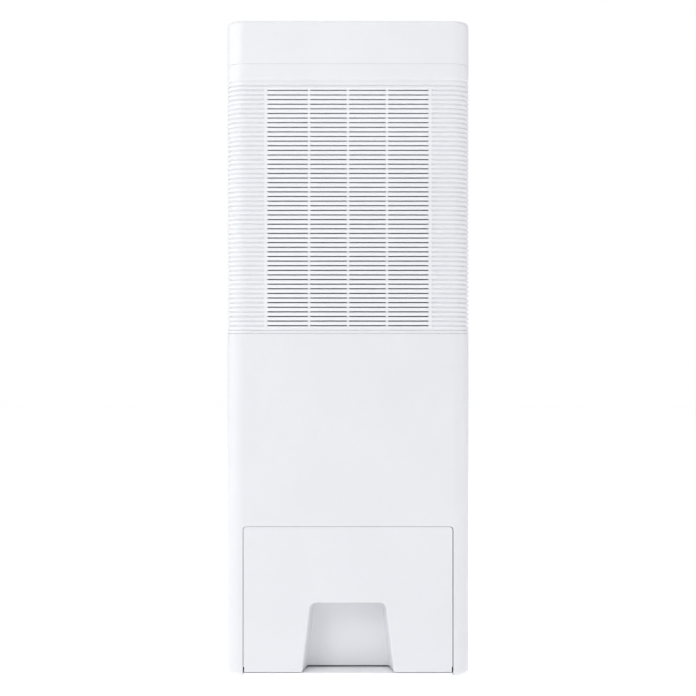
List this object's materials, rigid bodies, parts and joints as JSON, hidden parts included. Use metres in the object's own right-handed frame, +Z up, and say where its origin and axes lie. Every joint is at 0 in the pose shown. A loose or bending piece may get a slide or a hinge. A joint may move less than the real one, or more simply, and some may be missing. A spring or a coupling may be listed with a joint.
{
  "type": "tower dehumidifier",
  "caption": "Slim tower dehumidifier with a ribbed pull-off air intake, slide-out water tank with finger recess, hinged top outlet flap, blower and refrigeration set.",
  "frame": {"origin": "on the floor, under the middle of the tower", "axes": "+Z up; -Y is the rear face with the intake and the tank; +X is to the right for someone who looks at that face"},
  "size_m": [0.244, 0.244, 0.657],
  "materials": {
    "white_shell": "fine satin grain, cool white",
    "milky_tank": "translucent, smooth",
    "grey_moulding": "fine matt grain",
    "dark_gloss": "polished",
    "filter_net": "fine woven net",
    "rubber": "matt",
    "black_steel": "semi-gloss black paint",
    "coil_aluminium": "finned, bare",
    "copper": "bare drawn copper tube",
    "zinc_steel": "zinc plated",
    "circuit_board": "solder mask",
    "float_foam": "closed-cell foam"
  },
  "bodies": {
    "cabinet": {"base_pan": "white_shell", "foot_rear_left": "rubber", "foot_rear_right": "rubber", "foot_front_left": "rubber", "foot_front_right": "rubber", "rear_housing": "white_shell", "front_housing": "white_shell", "front_panel": "white_shell", "power_inlet": "grey_moulding", "top_cover": "white_shell", "grip_cup_left": "white_shell", "grip_cup_right": "white_shell", "compressor_deck": "zinc_steel", "evaporator_coil": "coil_aluminium", "condenser_coil": "coil_aluminium", "coil_bracket_left": "zinc_steel", "coil_bracket_right": "zinc_steel", "drip_tray": "grey_moulding", "drain_tube": "grey_moulding", "compressor": "black_steel", "compressor_feet": "black_steel", "compressor_mount_1": "rubber", "compressor_mount_2": "rubber", "compressor_mount_3": "rubber", "accumulator": "black_steel", "suction_pipe": "copper", "discharge_pipe": "copper", "filter_drier": "copper", "capillary_tube": "copper", "fan_casing": "grey_moulding", "fan_inlet_ring": "grey_moulding", "fan_motor": "zinc_steel", "outlet_duct": "grey_moulding", "outlet_guard": "grey_moulding", "louvre_motor": "zinc_steel", "control_panel": "white_shell", "display_window": "dark_gloss", "control_board": "circuit_board", "electronics_box": "grey_moulding"},
    "intake": {"intake_cover": "white_shell", "filter_frame": "grey_moulding", "filter_net": "filter_net"},
    "tank": {"tank_front": "white_shell", "tank_bucket": "milky_tank", "tank_lid": "white_shell"},
    "tank_handle": {"tank_handle": "grey_moulding"},
    "tank_float": {"float_arm": "float_foam"},
    "impeller": {"fan_impeller": "grey_moulding"},
    "flap": {"louvre_flap": "white_shell"},
    "vane_1": {"vane_1": "grey_moulding"},
    "vane_2": {"vane_2": "grey_moulding"},
    "vane_3": {"vane_3": "grey_moulding"},
    "vane_4": {"vane_4": "grey_moulding"},
    "vane_5": {"vane_5": "grey_moulding"},
    "vane_link": {"vane_link": "grey_moulding"},
    "power_button": {"power_button": "white_shell"},
    "mode_button": {"mode_button": "white_shell"},
    "fan_speed_button": {"fan_speed_button": "white_shell"},
    "timer_button": {"timer_button": "white_shell"}
  },
  "joints": [
    {"name": "tank_pull", "type": "slide", "parent": "cabinet", "child": "tank", "axis": [0, -1, 0], "range_m": [0, 0.2]},
    {"name": "handle_swing", "type": "hinge", "parent": "tank", "child": "tank_handle", "pos_m": [0, -0.03, 0.111], "axis": [1, 0, 0], "range_deg": [0, 90]},
    {"name": "float_swing", "type": "hinge", "parent": "tank", "child": "tank_float", "pos_m": [0.058, 0.048, 0.096], "axis": [-1, 0, 0], "range_deg": [0, 25]},
    {"name": "intake_pull", "type": "slide", "parent": "cabinet", "child": "intake", "axis": [0, -1, 0], "range_m": [0, 0.06]},
    {"name": "fan_spin", "type": "hinge", "parent": "cabinet", "child": "impeller", "pos_m": [0, 0, 0.468], "axis": [0, 1, 0], "continuous": true},
    {"name": "flap_swing", "type": "hinge", "parent": "cabinet", "child": "flap", "pos_m": [0, -0.031, 0.652], "axis": [1, 0, 0], "range_deg": [0, 80]},
    {"name": "vane_swing_1", "type": "hinge", "parent": "cabinet", "child": "vane_1", "pos_m": [-0.062, 0, 0.641], "axis": [0, 1, 0], "range_deg": [-30, 30]},
    {"name": "vane_swing_2", "type": "hinge", "parent": "cabinet", "child": "vane_2", "pos_m": [-0.031, 0, 0.641], "axis": [0, 1, 0], "range_deg": [-30, 30]},
    {"name": "vane_swing_3", "type": "hinge", "parent": "cabinet", "child": "vane_3", "pos_m": [0, 0, 0.641], "axis": [0, 1, 0], "range_deg": [-30, 30]},
    {"name": "vane_swing_4", "type": "hinge", "parent": "cabinet", "child": "vane_4", "pos_m": [0.031, 0, 0.641], "axis": [0, 1, 0], "range_deg": [-30, 30]},
    {"name": "vane_swing_5", "type": "hinge", "parent": "cabinet", "child": "vane_5", "pos_m": [0.062, 0, 0.641], "axis": [0, 1, 0], "range_deg": [-30, 30]},
    {"name": "link_slide", "type": "slide", "parent": "cabinet", "child": "vane_link", "axis": [1, 0, 0], "range_m": [-0.0109, 0.0109]},
    {"name": "power_press", "type": "slide", "parent": "cabinet", "child": "power_button", "axis": [0, 0, -1], "range_m": [0, 0.001], "stiffness_N_per_m": 300, "springref_m": -0.0006},
    {"name": "mode_press", "type": "slide", "parent": "cabinet", "child": "mode_button", "axis": [0, 0, -1], "range_m": [0, 0.001], "stiffness_N_per_m": 300, "springref_m": -0.0006},
    {"name": "fan_speed_press", "type": "slide", "parent": "cabinet", "child": "fan_speed_button", "axis": [0, 0, -1], "range_m": [0, 0.001], "stiffness_N_per_m": 300, "springref_m": -0.0006},
    {"name": "timer_press", "type": "slide", "parent": "cabinet", "child": "timer_button", "axis": [0, 0, -1], "range_m": [0, 0.001], "stiffness_N_per_m": 300, "springref_m": -0.0006}
  ],
  "couplings": [
    {"joint": "vane_swing_1", "follows": "link_slide", "rad_per_m": -47.619},
    {"joint": "vane_swing_2", "follows": "link_slide", "rad_per_m": -47.619},
    {"joint": "vane_swing_3", "follows": "link_slide", "rad_per_m": -47.619},
    {"joint": "vane_swing_4", "follows": "link_slide", "rad_per_m": -47.619},
    {"joint": "vane_swing_5", "follows": "link_slide", "rad_per_m": -47.619}
  ]
}
